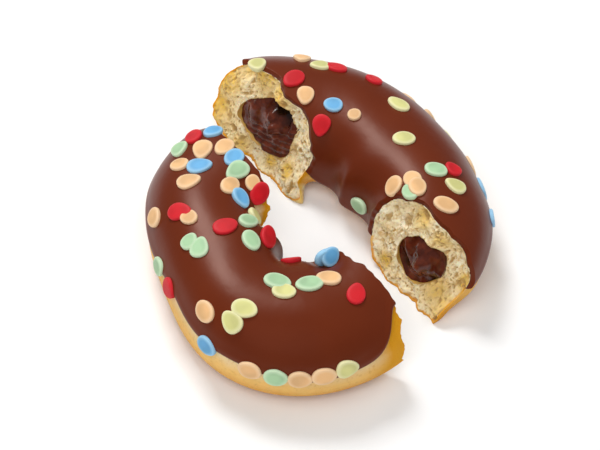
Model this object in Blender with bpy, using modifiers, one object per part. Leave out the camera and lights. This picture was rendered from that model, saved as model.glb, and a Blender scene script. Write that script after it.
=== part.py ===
"""Filled ring doughnut, iced and sprinkled, torn across into two halves.

Metres, +Z up. +X runs along the tear and +Y across it, from the front half
to the back half. The origin is under the middle of the two halves, on the
surface that they lie on.

Each half is modelled in its own frame, with its tear near y = 0 and its ring
on the +Y side, and is then placed by its object's location and rotation.
A place on the ring has two angles: turn, along the ring from one torn end
(0 degrees) to the other (180), and around, about the dough's own section,
from its outer side (0) over the top (90) to the side of the hole (180).
"""
import itertools
import math
import random

import bmesh
import bpy
from mathutils import Matrix, Vector, noise

MM = 0.001

# Section of the iced ring
RING_WIDTH = 37.6 * MM
RING_HEIGHT = 25.5 * MM
WIDEST_AT = 10.7 * MM
TOP_ROUNDNESS = 2.15
FOOT_ROUNDNESS = 3.0
FOOT_FLAT = 0.3 * MM
UNEVEN = 0.45 * MM
UNEVEN_LENGTH = 15 * MM

# Layers
ICING_THICKNESS = 1.3 * MM
ICING_GAP = 0.5 * MM
ICING_LIP = 0.3 * MM
ICING_EDGE_OUTER = 7.0
ICING_EDGE_INNER = 198.0
ICING_FADES_OUTER = (-34.0, 3.0)
ICING_FADES_INNER = (186.0, 222.0)
EDGE_WAVE = 3.0
EDGE_RIPPLE = 2.0
ROW_LEAST = 0.55
FILLING_GAP = 0.35 * MM
TUNNEL_NARROWS = 0.22

# How finely the ring is divided
RING_STEPS = 40
SECTION_STEPS = 20
TUNNEL_STEPS = 10
ICING_ROWS = 11
TRIANGLE_TRIES = 20

# Torn faces
CRAG = 0.85 * MM
CRAG_LENGTH = 6.0 * MM
CRUMB = 0.4 * MM
CRUMB_LENGTH = 2.5 * MM
TEAR_CELL = 3.3 * MM
TEAR_LENGTH = 118 * MM
TEAR_HEIGHT = 36 * MM
TEAR_DEPTH = 75 * MM
TEAR_FOOT = -4.0 * MM
CELL_SHIFT = 0.35
CELL_SHIFT_LENGTH = 1.7 * MM
ICING_SET_BACK = 0.5 * MM
ICING_ROUGH = 0.8

# Broken end of the filling: how far it is sunk, more at its rim, and its folds
FILLING_CELL = 2.7 * MM
FILLING_HALF = (8.0 * MM, 7.0 * MM)
FILLING_SUNK = 0.3 * MM
FILLING_RIM = 0.4 * MM
FOLD = 0.6 * MM
FOLD_TURNS = 9.0
LUMP = 0.8 * MM
LUMP_LENGTH = 4.5 * MM

# Sprinkles: flat sugar ovals
SPRINKLE_LENGTH = 7.0 * MM
SPRINKLE_WIDTH = 5.4 * MM
SPRINKLE_PROUD = 0.95 * MM
SPRINKLE_SUNK = 0.8 * MM
SPRINKLE_BEVEL = 0.68
SPRINKLE_SIDES = 8
SPRINKLE_SPACING = 8.5 * MM
TILT_RAISE = 1.6 * MM

# The two halves. radii: mean radius of the ring, then how much it swells
# once, twice and three times round. widths: how much wider the dough is at
# the first end than at the other, and half way round than at the ends. lean:
# how far the tear leans away from upright. edge_climb, inner_climb: how far
# the icing's edge climbs at each end, the turn where it is highest, and how
# wide. tunnel: the tunnel's half width and half height at each end.
# tunnel_out, tunnel_up: how far its middle lies outside the ring's mean line,
# and how high. tunnel_sags: how far the tunnel's section is out of round at
# each end, with how many lobes, and where. pulls: where the tear was drawn
# out, as x, z, how far, and how wide. swells: where the ring is fuller, as
# turn, around, how far, and how wide each way. dents: where the filling's
# broken ends are sunk, as across, up, how far, and how wide. sprinkles:
# colour, turn, around, twist from the ring's direction, length and tilt.
# hidden: more sprinkles where the list has none, as ranges of around, turn
# and twist, how many, and the draw's seed.
HALVES = {
    "back": {
        "location": (-0.6 * MM, 10.3 * MM),
        "rotation": 0.0,
        "radii": (27.6 * MM, -0.9 * MM, 4.6 * MM, 0.8 * MM),
        "widths": (-2.2 * MM, -0.5 * MM),
        "lean": 21.5,
        "seed": 11.0,
        "edge_climb": ((-3.0, 0.0, 10.0), (34.0, 180.0, 11.0)),
        "inner_climb": ((6.0, 0.0, 16.0), (18.0, 180.0, 20.0)),
        "tunnel": (7.6 * MM, 10.1 * MM, 6.4 * MM, 7.8 * MM),
        "tunnel_out": (0.8 * MM, -1.2 * MM),
        "tunnel_up": (11.0 * MM, 12.9 * MM),
        "tunnel_sags": ((0.10, 2, 40), (0.12, 3, -16)),
        "pulls": (
            (47 * MM, 2 * MM, -3.2 * MM, 4 * MM),
            (-15 * MM, 3 * MM, -3.0 * MM, 4 * MM),
            (-30 * MM, 23 * MM, -1.6 * MM, 5 * MM),
            (35 * MM, 22 * MM, -1.4 * MM, 6 * MM),
            (-44 * MM, 12 * MM, -1.0 * MM, 6 * MM),
            (34 * MM, 18 * MM, -0.8 * MM, 2.2 * MM),
            (-11 * MM, 18 * MM, -1.4 * MM, 6 * MM),
            (13 * MM, 16 * MM, -1.9 * MM, 6 * MM),
            (41 * MM, 6 * MM, 1.8 * MM, 2.8 * MM),
            (44 * MM, 17 * MM, 3.0 * MM, 8 * MM),
            (50 * MM, 7 * MM, 3.0 * MM, 5 * MM),
        ),
        "swells": (
            (168, 28, 2.1 * MM, 17, 32),
            (166, 66, 1.1 * MM, 18, 26),
            (1, -16, -2.8 * MM, 10, 18),
            (1, -54, 5.0 * MM, 9, 15),
            (8, 14, 0.5 * MM, 12, 20),
        ),
        "dents": (
            (
                (0.3 * MM, 0.3 * MM, -2.0 * MM, 3.4 * MM),
                (6.2 * MM, -3.6 * MM, 2.6 * MM, 2.6 * MM),
                (-5.0 * MM, -3.6 * MM, 1.6 * MM, 2.4 * MM),
                (-1.0 * MM, 6.0 * MM, 0.7 * MM, 2.0 * MM),
            ),
            (
                (1.6 * MM, 0.6 * MM, -1.7 * MM, 3.0 * MM),
                (-7.0 * MM, -0.6 * MM, -1.2 * MM, 4.0 * MM),
                (2.0 * MM, 6.0 * MM, 4.0 * MM, 2.6 * MM),
                (6.0 * MM, 3.0 * MM, 1.8 * MM, 2.6 * MM),
                (8.0 * MM, 2.6 * MM, -0.8 * MM, 1.8 * MM),
            ),
        ),
        "flaps": (
            ((-15.0 * MM, 1.2 * MM, 4.1 * MM), (6.5 * MM, 3.0 * MM, 2.6 * MM), 6.0),
        ),
        "sprinkles": (
            ("yellow", 168, 56, 70, 1.0, 0),
            ("peach", 149, 44, 80, 1.0, 0),
            ("yellow", 143, 57, 20, 0.9, 0),
            ("red", 136, 54, 0, 1.0, 0),
            ("red", 157, 83, 35, 1.1, 0),
            ("peach", 154, 106, 80, 0.95, 0),
            ("blue", 137, 113, 10, 0.85, 0),
            ("peach", 120, 113, 0, 0.6, 0),
            ("red", 147, 138, 90, 1.0, 0),
            ("yellow", 101, 62, 15, 1.05, 0),
            ("red", 119, 50, 0, 0.8, 0),
            ("yellow", 76, 91, 60, 1.0, 0),
            ("mint", 46, 82, 60, 1.0, 0),
            ("red", 49, 62, 30, 0.8, 0),
            ("yellow", 38, 66, 60, 0.95, 0),
            ("peach", 32, 133, 140, 1.0, 0),
            ("peach", 36, 111, 10, 1.0, 0),
            ("peach", 30, 108, 0, 1.0, 12),
            ("mint", 26, 116, 20, 0.9, 0),
            ("peach", 24, 77, 80, 1.1, 0),
            ("mint", 42, 181, 0, 0.9, 0),
        ),
        "hidden": ((4, 14), (38, 148), (0, 180), 8, 5),
    },
    "front": {
        "location": (7.8 * MM, -12.1 * MM),
        "rotation": 177.3,
        "radii": (23.5 * MM, -0.9 * MM, 3.3 * MM, 2.4 * MM),
        "widths": (-1.7 * MM, -3.1 * MM),
        "lean": -12.5,
        "seed": 47.0,
        "edge_climb": ((8.0, 0.0, 10.0), (34.0, 180.0, 11.0)),
        "inner_climb": ((30.0, 0.0, 16.0), (8.0, 180.0, 22.0)),
        "tunnel": (10.0 * MM, 8.2 * MM, 8.0 * MM, 7.0 * MM),
        "tunnel_out": (1.2 * MM, -0.4 * MM),
        "tunnel_up": (11.0 * MM, 11.0 * MM),
        "tunnel_sags": ((0.10, 3, 164), (0.08, 2, 140)),
        "pulls": (
            (-44 * MM, 3 * MM, -4.6 * MM, 4 * MM),
            (-42 * MM, 11 * MM, -1.5 * MM, 5 * MM),
            (6 * MM, 12 * MM, 4.2 * MM, 7 * MM),
            (24 * MM, 24 * MM, 0.8 * MM, 9 * MM),
            (-9 * MM, 18 * MM, 3.4 * MM, 6 * MM),
        ),
        "swells": ((-3, 32, 1.5 * MM, 13, 32), (180, 142, -3.0 * MM, 15, 28)),
        "dents": (
            (
                (-0.6 * MM, 0.8 * MM, -1.8 * MM, 3.2 * MM),
                (5.2 * MM, 3.2 * MM, 1.9 * MM, 2.6 * MM),
                (-5.4 * MM, -2.6 * MM, 1.5 * MM, 2.8 * MM),
            ),
            (
                (0.8 * MM, -0.6 * MM, -1.8 * MM, 3.3 * MM),
                (-5.0 * MM, 3.4 * MM, 2.2 * MM, 2.6 * MM),
                (4.2 * MM, -4.0 * MM, 1.4 * MM, 2.4 * MM),
            ),
        ),
        "flaps": (),
        "sprinkles": (
            ("blue", -5, 52, 20, 0.95, 0),
            ("red", 2, 45, 40, 1.0, 0),
            ("mint", 10, 42, 30, 1.0, 0),
            ("peach", 6, 66, 30, 1.15, 0),
            ("peach", -3, 78, 20, 1.0, 0),
            ("blue", -3, 96, 20, 1.0, 0),
            ("mint", 2, 112, 0, 1.15, 0),
            ("blue", 15, 76, 125, 1.1, 0),
            ("peach", 18, 54, 100, 0.85, 0),
            ("peach", 27, 70, 110, 1.05, 0),
            ("peach", 16, 116, 160, 1.0, 0),
            ("peach", -3, 130, 60, 0.75, 0),
            ("red", -4, 141, 40, 1.05, 0),
            ("blue", 19, 130, 30, 1.0, 0),
            ("yellow", 22, 149, 130, 1.0, 0),
            ("mint", 53, 122, 100, 1.0, 0),
            ("peach", 44, 27, 10, 1.0, 0),
            ("red", 47, 56, 60, 1.1, 0),
            ("peach", 52, 63, 30, 0.8, 0),
            ("red", 64, 93, 95, 1.1, 0),
            ("mint", 68, 54, 120, 0.8, 0),
            ("mint", 75, 61, 150, 1.0, 0),
            ("mint", 87, 116, 10, 1.05, 0),
            ("red", 83, 138, 0, 1.15, 0),
            ("red", 144, 153, 20, 0.9, 0),
            ("blue", 179, 131, 0, 0.95, -60),
            ("blue", 186, 127, 0, 0.9, 80),
            ("mint", 132, 103, 0, 1.15, 0),
            ("yellow", 137, 91, 0, 1.0, 0),
            ("mint", 153, 101, 0, 1.15, 0),
            ("peach", 167, 102, 145, 1.05, 0),
            ("red", 175, 71, 45, 1.0, 0),
            ("peach", 104, 34, 170, 1.05, 0),
            ("yellow", 120, 58, 15, 1.1, 0),
            ("yellow", 117, 42, 160, 1.05, 0),
            ("blue", 110, 9, 0, 1.0, 0),
            ("peach", 128, 9, 0, 1.0, 0),
            ("mint", 137, 8, 0, 1.0, 0),
            ("peach", 145, 8, 0, 1.0, 0),
            ("peach", 153, 10, 0, 1.05, 0),
            ("yellow", 161, 13, 0, 1.0, 0),
            ("mint", 65, 10, 20, 1.0, 0),
            ("red", 79, 12, 0, 1.0, 0),
        ),
        "hidden": ((138, 160), (40, 140), (75, 105), 2, 8),
    },
}

COLOURS = {
    "dough": (0.76, 0.55, 0.27, 1.0),
    "icing": (0.09, 0.022, 0.011, 1.0),
    "filling": (0.035, 0.009, 0.005, 1.0),
}
ROUGHNESS = {"dough": 0.85, "icing": 0.28, "filling": 0.2}


def smooth(low, high, value):
    """0 below low, 1 above high, and a soft step between."""
    t = min(1.0, max(0.0, (value - low) / (high - low)))
    return t * t * (3.0 - 2.0 * t)


def ring_radius(half, turn):
    mean, once, twice, thrice = half["radii"]
    return mean + once * math.cos(turn) + twice * math.cos(2 * turn) + thrice * math.cos(3 * turn)


def section_radius(half, turn, around):
    """Distance from the middle of the section to the skin of the iced ring."""
    ends, middle = half["widths"]
    width = RING_WIDTH + ends * math.cos(turn) + middle * math.sin(turn) ** 2
    upper = math.sin(around) > 0.0
    height = RING_HEIGHT - WIDEST_AT if upper else WIDEST_AT + FOOT_FLAT
    power = TOP_ROUNDNESS if upper else FOOT_ROUNDNESS
    across = abs(math.cos(around)) / (0.5 * width)
    up = abs(math.sin(around)) / height
    return (across ** power + up ** power) ** (-1.0 / power)


def ring_point(half, turn, around, radius):
    """A point at a distance from the middle of the section, flat underneath."""
    out = ring_radius(half, turn) + radius * math.cos(around)
    height = WIDEST_AT + radius * math.sin(around)
    return Vector((out * math.cos(turn), out * math.sin(turn), max(0.0, height)))


def signed_degrees(around):
    """An angle around the section in degrees, from -90 at the foot to 270."""
    degrees = math.degrees(around) % 360.0
    return degrees - 360.0 if degrees > 270.0 else degrees


def swell(spots, turn, around):
    """How far the dough swells out at a place, from spots with their widths in degrees."""
    lift = 0.0
    for at_turn, at_around, far, wide, high in spots:
        along = (math.degrees(turn) - at_turn) / wide
        over = (signed_degrees(around) - at_around) / high
        lift += far * math.exp(-along * along - over * over)
    return lift


def skin(half, turn, around, lift=0.0):
    """A point of the iced ring's skin, or lifted above it."""
    radius = section_radius(half, turn, around)
    flat = ring_point(half, turn, around, radius)
    place = flat / UNEVEN_LENGTH + Vector((half["seed"], 0.0, 0.0))
    wave = UNEVEN * noise.noise(place) * smooth(-0.4, 0.4, math.sin(around))
    wave += swell(half["swells"], turn, around)
    return ring_point(half, turn, around, radius + wave + lift)


def iced(around):
    """How far a place is under the icing: 1 there, and 0 at the foot."""
    degrees = signed_degrees(around)
    return smooth(*ICING_FADES_OUTER, degrees) * (1.0 - smooth(*ICING_FADES_INNER, degrees))


def dough_skin(half, turn, around, lift=0.0):
    depth = (ICING_THICKNESS + ICING_GAP) * iced(around)
    return skin(half, turn, around, lift - depth)


def dough_facet(half, turn, around, lift):
    """A point above the dough's flat facet at a place, between two of its rows."""
    step = 2.0 * math.pi / SECTION_STEPS
    row = math.floor(around / step)
    below = dough_skin(half, turn, row * step, lift)
    above = dough_skin(half, turn, (row + 1) * step, lift)
    return below.lerp(above, around / step - row)


def tunnel_point(half, turn, around, lift=0.0):
    """A point of the wall of the tunnel that the filling lies in."""
    share = 0.5 - 0.5 * math.cos(turn)
    wide_0, wide_1, tall_0, tall_1 = half["tunnel"]
    narrow = 1.0 - TUNNEL_NARROWS * math.sin(turn) ** 2
    wide = (wide_0 + (wide_1 - wide_0) * share) * narrow
    tall = (tall_0 + (tall_1 - tall_0) * share) * narrow
    sag = 1.0
    for (far, lobes, at), part in zip(half["tunnel_sags"], (1.0 - share, share)):
        sag += part * far * math.cos(lobes * (around - math.radians(at)))
    out_0, out_1 = half["tunnel_out"]
    middle = ring_radius(half, turn) + out_0 + (out_1 - out_0) * share
    out = middle + (wide * sag + lift) * math.cos(around)
    up_0, up_1 = half["tunnel_up"]
    height = up_0 + (up_1 - up_0) * share + (tall * sag + lift) * math.sin(around)
    return Vector((out * math.cos(turn), out * math.sin(turn), height))


def tear(half, x, z, rough=1.0):
    """How far across the tear, along y, the torn face lies at x and z."""
    seed = half["seed"]
    crag = CRAG * noise.noise(Vector((x, z, 0.0)) / CRAG_LENGTH + Vector((seed, 3.0, 1.0)))
    crumb = CRUMB * noise.noise(Vector((x, z, 0.0)) / CRUMB_LENGTH + Vector((seed, 9.0, 5.0)))
    y = z * math.tan(math.radians(half["lean"])) + rough * 2.0 * (crag + crumb)
    for at_x, at_z, far, wide in half["pulls"]:
        reach = ((x - at_x) ** 2 + (z - at_z) ** 2) / wide ** 2
        y += rough * far * math.exp(-reach)
    return y


def icing_tear(half, x, z):
    """The icing breaks more smoothly than the crumb, and a little behind it."""
    return tear(half, x, z, ICING_ROUGH) + ICING_SET_BACK


def filling_end(half, x, z):
    """The broken end of the filling: a folded lump with dents where it drew away."""
    first = x > 0.0
    side = 1.0 if first else -1.0
    out = half["tunnel_out"][0 if first else 1]
    across = x - side * (ring_radius(half, 0.0 if first else math.pi) + out)
    up = z - half["tunnel_up"][0 if first else 1]
    reach = math.hypot(across / FILLING_HALF[0], up / FILLING_HALF[1])
    depth = z * math.tan(math.radians(half["lean"])) + FILLING_SUNK + FILLING_RIM * reach * reach
    for at_across, at_up, far, wide in half["dents"][0 if first else 1]:
        depth += far * math.exp(-((across - at_across) ** 2 + (up - at_up) ** 2) / wide ** 2)
    swirl = math.cos(FOLD_TURNS * reach + 2.0 * math.atan2(up, across) + half["seed"])
    lump = noise.noise(Vector((x, z, 0.0)) / LUMP_LENGTH + Vector((half["seed"], 20.0, 2.0)))
    return depth + FOLD * swirl + LUMP * lump


def finish(name, mesh, kind):
    """Gives a mesh its object in the parts collection, with its own material."""
    material = bpy.data.materials.new(name)
    material.use_nodes = True
    shader = material.node_tree.nodes["Principled BSDF"]
    shader.inputs["Base Color"].default_value = COLOURS[kind]
    shader.inputs["Roughness"].default_value = ROUGHNESS[kind]
    shader.inputs["Metallic"].default_value = 0.0
    material.diffuse_color = COLOURS[kind]
    mesh.materials.clear()
    mesh.materials.append(material)
    mesh.shade_smooth()
    mesh.set_sharp_from_angle(angle=math.radians(40))
    solid = bpy.data.objects.new(name, mesh)
    parts.objects.link(solid)
    return solid


def torus(name, steps, place):
    """A whole ring from the torus primitive, each vertex moved by place."""
    bpy.ops.mesh.primitive_torus_add(
        major_segments=RING_STEPS,
        minor_segments=steps,
        major_radius=1.0,
        minor_radius=0.4,
    )
    ring = bpy.context.object
    ring.name = name
    for vertex in ring.data.vertices:
        x, y, z = vertex.co
        turn = math.atan2(y, x)
        around = math.atan2(z, math.hypot(x, y) - 1.0)
        vertex.co = place(turn, around)
    move_to(ring, cutters)
    return ring


def move_to(thing, collection):
    for owner in list(thing.users_collection):
        owner.objects.unlink(thing)
    collection.objects.link(thing)
    if collection is cutters:
        thing.hide_render = True
        thing.display_type = "WIRE"


def face_block(name, depth_at, cell):
    """A block whose +Y face is a sheet at depth_at(x, z): it takes a half's other side."""
    mesh = bpy.data.meshes.new(name)
    work = bmesh.new()
    across = round(TEAR_LENGTH / cell)
    up = round(TEAR_HEIGHT / cell)
    bmesh.ops.create_grid(work, x_segments=across, y_segments=up, size=0.5)
    for vertex in work.verts:
        x = vertex.co.x * TEAR_LENGTH
        z = (vertex.co.y + 0.5) * TEAR_HEIGHT + TEAR_FOOT
        loose = Vector((x, z, 0.0)) / CELL_SHIFT_LENGTH
        x += CELL_SHIFT * cell * noise.noise(loose + Vector((50.0, 0.0, 0.0)))
        z += CELL_SHIFT * cell * noise.noise(loose + Vector((0.0, 50.0, 0.0)))
        vertex.co = Vector((x, depth_at(x, z), z))
    grown = bmesh.ops.extrude_face_region(work, geom=list(work.faces))
    for item in grown["geom"]:
        if isinstance(item, bmesh.types.BMVert):
            item.co.y = -TEAR_DEPTH
    bmesh.ops.recalc_face_normals(work, faces=work.faces)
    work.to_mesh(mesh)
    work.free()
    block = bpy.data.objects.new(name, mesh)
    cutters.objects.link(block)
    block.hide_render = True
    block.display_type = "WIRE"
    return block


def cut(thing, cutter, how="DIFFERENCE"):
    modifier = thing.modifiers.new(how.lower(), "BOOLEAN")
    modifier.operation = how
    modifier.solver = "EXACT"
    modifier.object = cutter


def result_of(thing):
    """A new mesh of an object with its modifiers, cleaned of slivers."""
    graph = bpy.context.evaluated_depsgraph_get()
    graph.update()
    mesh = bpy.data.meshes.new_from_object(thing.evaluated_get(graph))
    work = bmesh.new()
    work.from_mesh(mesh)
    bmesh.ops.remove_doubles(work, verts=work.verts, dist=0.000002)
    bmesh.ops.dissolve_degenerate(work, edges=work.edges, dist=0.000001)
    work = in_triangles(work)
    keep_largest(work)
    loose = [vertex for vertex in work.verts if not vertex.link_faces]
    bmesh.ops.delete(work, geom=loose, context="VERTS")
    work.to_mesh(mesh)
    work.free()
    return mesh


def in_triangles(work):
    """Cuts the faces into triangles, with no diagonal shared by two faces."""
    for attempt in range(TRIANGLE_TRIES):
        work.verts.index_update()
        work.verts.ensure_lookup_table()
        trial = work.copy()
        bmesh.ops.triangulate(trial, faces=trial.faces)
        trial.verts.index_update()
        doubled = [edge for edge in trial.edges if len(edge.link_faces) > 2]
        if not doubled:
            break
        for edge in doubled:
            ends = [work.verts[vertex.index] for vertex in edge.verts]
            corners = {vertex for face in edge.link_faces for vertex in face.verts}
            others = [work.verts[vertex.index] for vertex in corners]
            split_across(*ends, [vertex for vertex in others if vertex not in ends])
        if attempt < TRIANGLE_TRIES - 1:
            trial.free()
    work.free()
    return trial


def split_across(a, b, others):
    """Splits a face that holds a and b across them, by two of the other corners."""
    for face in list(a.link_faces):
        if b not in face.verts[:]:
            continue
        mine = [vertex for vertex in others if vertex in face.verts[:]]
        for c, d in itertools.combinations(mine, 2):
            apart = turns_of(face, a, b, c) * turns_of(face, a, b, d) < 0.0
            convex = turns_of(face, c, d, a) * turns_of(face, c, d, b) < 0.0
            if apart and convex and not any(c in edge.verts for edge in d.link_edges):
                bmesh.utils.face_split(face, c, d)
                return


def turns_of(face, start, end, point):
    """Which side of the line from start to end a point of the face is on."""
    return face.normal.dot((end.co - start.co).cross(point.co - start.co))


def keep_largest(work):
    """Drops loose scraps: all but the piece with the most faces."""
    left = set(work.faces)
    pieces = []
    while left:
        stack = [left.pop()]
        piece = set(stack)
        while stack:
            face = stack.pop()
            for edge in face.edges:
                for other in edge.link_faces:
                    if other in left:
                        left.remove(other)
                        piece.add(other)
                        stack.append(other)
        pieces.append(piece)
    pieces.sort(key=len)
    for piece in pieces[:-1]:
        bmesh.ops.delete(work, geom=list(piece), context="FACES")


def climb(rises, degrees):
    """How far the icing's edge climbs near the two torn ends."""
    (first, first_at, first_wide), (last, last_at, last_wide) = rises
    before = max(0.0, degrees - first_at) / first_wide
    after = max(0.0, last_at - degrees) / last_wide
    return first * math.exp(-before * before) + last * math.exp(-after * after)


def icing_span(half, turn):
    """The two angles around the section where the icing ends."""
    degrees = math.degrees(turn)
    waves = EDGE_WAVE * math.sin(3.0 * turn + half["seed"])
    waves += EDGE_RIPPLE * math.sin(8.0 * turn + half["seed"])
    outer = ICING_EDGE_OUTER + climb(half["edge_climb"], degrees) + waves
    waves = EDGE_WAVE * math.sin(4.0 * turn + half["seed"])
    inner = ICING_EDGE_INNER - climb(half["inner_climb"], degrees) + waves
    return math.radians(outer), math.radians(inner)


def icing_sheet(half, name):
    """The icing as an open sheet over the top of the ring, thickened outward."""
    sheet = torus(name, SECTION_STEPS, lambda turn, around: Vector((turn, around, 0.0)))
    work = bmesh.new()
    work.from_mesh(sheet.data)
    step = 2.0 * math.pi / SECTION_STEPS
    last = ICING_ROWS * step
    unwanted = []
    for vertex in work.verts:
        turn = vertex.co.x
        around = vertex.co.y % (2.0 * math.pi)
        if around > 2.0 * math.pi - 0.5 * step:
            around = 0.0
        if around > last + 0.5 * step:
            unwanted.append(vertex)
            continue
        low, high = icing_span(half, abs(turn))
        row = round(around / step)
        around = max(around, low + ROW_LEAST * step * row)
        around = min(around, high - ROW_LEAST * step * (ICING_ROWS - row))
        lip = ICING_LIP if row in (0, ICING_ROWS) else 0.0
        vertex.co = dough_facet(half, turn, around, ICING_GAP + lip)
    bmesh.ops.delete(work, geom=unwanted, context="VERTS")
    bmesh.ops.triangulate(work, faces=work.faces, quad_method="SHORT_EDGE")
    bmesh.ops.recalc_face_normals(work, faces=work.faces)
    top = max(work.faces, key=lambda face: face.calc_center_median().z)
    if top.normal.z < 0.0:
        bmesh.ops.reverse_faces(work, faces=work.faces)
    work.to_mesh(sheet.data)
    work.free()
    solidify = sheet.modifiers.new("thickness", "SOLIDIFY")
    solidify.thickness = ICING_THICKNESS
    solidify.offset = 1.0
    solidify.use_even_offset = True
    return sheet


def sprinkle_frame(half, turn, around, twist, length, tilt):
    """Where a sprinkle lies on the icing, as a matrix."""
    turn = math.radians(turn)
    around = math.radians(around)
    twist = math.radians(twist)
    tilt = math.radians(tilt)
    step = 0.02
    middle = skin(half, turn, around)
    along = skin(half, turn + step, around) - skin(half, turn - step, around)
    over = skin(half, turn, around + step) - skin(half, turn, around - step)
    out = over.cross(along).normalized()
    if out.dot(skin(half, turn, around, MM) - middle) < 0.0:
        out.negate()

    # In a hollow of the icing it bridges, touching with its ends
    bridge = 0.0
    for reach, angle in ((SPRINKLE_LENGTH, twist), (SPRINKLE_WIDTH, twist + math.pi / 2)):
        by_turn = length * reach * step * math.cos(angle) / along.length
        by_around = length * reach * step * math.sin(angle) / over.length
        ahead = skin(half, turn + by_turn, around + by_around)
        behind = skin(half, turn - by_turn, around - by_around)
        bridge = max(bridge, 0.5 * (ahead + behind - 2.0 * middle).dot(out))
    raised = bridge + abs(math.sin(tilt)) * TILT_RAISE

    along.normalize()
    side = out.cross(along).normalized()
    basis = Matrix((along, side, out)).transposed().to_4x4()
    turned = Matrix.Rotation(twist, 4, "Z")
    tilted = Matrix.Rotation(tilt, 4, "X")
    return Matrix.Translation(middle + out * raised) @ basis @ turned @ tilted


def sprinkle(name, frame, length, taper, collection):
    """A flat oval with a bevelled rim, sunk into the icing."""
    mesh = bpy.data.meshes.new(name)
    work = bmesh.new()
    bmesh.ops.create_cone(
        work,
        cap_ends=True,
        segments=SPRINKLE_SIDES,
        radius1=0.5,
        radius2=0.5 * SPRINKLE_BEVEL,
        depth=1.0,
    )
    for vertex in work.verts:
        along = vertex.co.x * SPRINKLE_LENGTH * length
        side = vertex.co.y * SPRINKLE_WIDTH * math.sqrt(length)
        side *= 1.0 - taper * vertex.co.x
        up = SPRINKLE_PROUD if vertex.co.z > 0.0 else -SPRINKLE_SUNK
        vertex.co = frame @ Vector((along, side, up))
    work.to_mesh(mesh)
    work.free()
    thing = bpy.data.objects.new(name, mesh)
    collection.objects.link(thing)


def sprinkle_places(half):
    """The shown sprinkles, and more by a seeded rule where none is listed."""
    places = [place for place in half["sprinkles"]]
    (low, high), (start, end), (least, most), wanted, seed = half["hidden"]
    draw = random.Random(seed)
    spots = [skin(half, math.radians(p[1]), math.radians(p[2])) for p in places]
    colours = ("red", "blue", "mint", "yellow", "peach")
    for attempt in range(400):
        turn = draw.uniform(start, end)
        around = draw.uniform(low, high)
        colour = draw.choice(colours)
        twist = draw.uniform(least, most)
        length = draw.uniform(0.9, 1.1)
        spot = skin(half, math.radians(turn), math.radians(around))
        if wanted and all((spot - other).length > SPRINKLE_SPACING for other in spots):
            spots.append(spot)
            places.append((colour, turn, around, twist, length, 0))
            wanted -= 1
    return places


def add_sprinkles(half, name, icing):
    """Joins the sprinkles to the icing with one union on a collection."""
    loose = bpy.data.collections.new(name + "_sprinkles")
    scene.collection.children.link(loose)
    draw = random.Random(round(half["seed"]))
    for index, place in enumerate(sprinkle_places(half)):
        colour, turn, around, twist, length, tilt = place
        frame = sprinkle_frame(half, turn, around, twist, length, tilt)
        taper = draw.choice((0.0, 0.15, 0.3, 0.6))
        sprinkle(f"{name}_{colour}_{index:02d}", frame, length, taper, loose)
    union = icing.modifiers.new("sprinkles", "BOOLEAN")
    union.operation = "UNION"
    union.solver = "EXACT"
    union.operand_type = "COLLECTION"
    union.collection = loose
    mesh = result_of(icing)
    for thing in list(loose.objects):
        bpy.data.objects.remove(thing)
    bpy.data.collections.remove(loose)
    return mesh


def flap(name, middle, size, pitch):
    """A drawn-out flap of crumb, as a lumpy ball."""
    bpy.ops.mesh.primitive_ico_sphere_add(subdivisions=2, radius=1.0)
    lump = bpy.context.object
    lump.name = name
    slope = Matrix.Rotation(math.radians(pitch), 3, "Y")
    for vertex in lump.data.vertices:
        rough = 1.0 + 0.25 * noise.noise(vertex.co * 2.3 + Vector((4.0, 1.0, 7.0)))
        point = Vector(vertex.co[i] * size[i] * rough for i in range(3))
        vertex.co = slope @ point + Vector(middle)
    move_to(lump, cutters)
    return lump


def build_half(name, half):
    dough = torus(name + "_ring", SECTION_STEPS, lambda t, a: dough_skin(half, t, a))
    tunnel = torus(name + "_tunnel", TUNNEL_STEPS, lambda t, a: tunnel_point(half, t, a))
    core = torus(name + "_core", TUNNEL_STEPS, lambda t, a: tunnel_point(half, t, a, -FILLING_GAP))
    torn = face_block(name + "_tear", lambda x, z: tear(half, x, z), TEAR_CELL)
    iced_tear = face_block(name + "_icing_tear", lambda x, z: icing_tear(half, x, z), TEAR_CELL)
    broken = face_block(name + "_broken", lambda x, z: filling_end(half, x, z), FILLING_CELL)

    cut(dough, torn)
    for index, (middle, size, pitch) in enumerate(half["flaps"]):
        cut(dough, flap(f"{name}_flap_{index}", middle, size, pitch), "UNION")
    cut(dough, tunnel)
    dough_solid = finish("dough_" + name, result_of(dough), "dough")

    cut(core, broken)
    filling_solid = finish("filling_" + name, result_of(core), "filling")

    sheet = icing_sheet(half, name + "_sheet")
    cut(sheet, iced_tear)
    trimmed = bpy.data.objects.new(name + "_trimmed", result_of(sheet))
    cutters.objects.link(trimmed)
    icing_solid = finish("icing_" + name, add_sprinkles(half, name, trimmed), "icing")

    for solid in (dough_solid, filling_solid, icing_solid):
        solid.location = (*half["location"], 0.0)
        solid.rotation_euler = (0.0, 0.0, math.radians(half["rotation"]))
        solid.parent = whole


for thing in list(bpy.data.objects):
    bpy.data.objects.remove(thing)

scene = bpy.context.scene
parts = bpy.data.collections.new("filled_doughnut")
cutters = bpy.data.collections.new("cutters")
scene.collection.children.link(parts)
scene.collection.children.link(cutters)

whole = bpy.data.objects.new("filled_doughnut_whole", None)
parts.objects.link(whole)

for half_name, half_form in HALVES.items():
    build_half(half_name, half_form)

for thing in list(cutters.objects):
    bpy.data.objects.remove(thing)
bpy.data.collections.remove(cutters)
bpy.context.view_layer.update()
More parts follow.
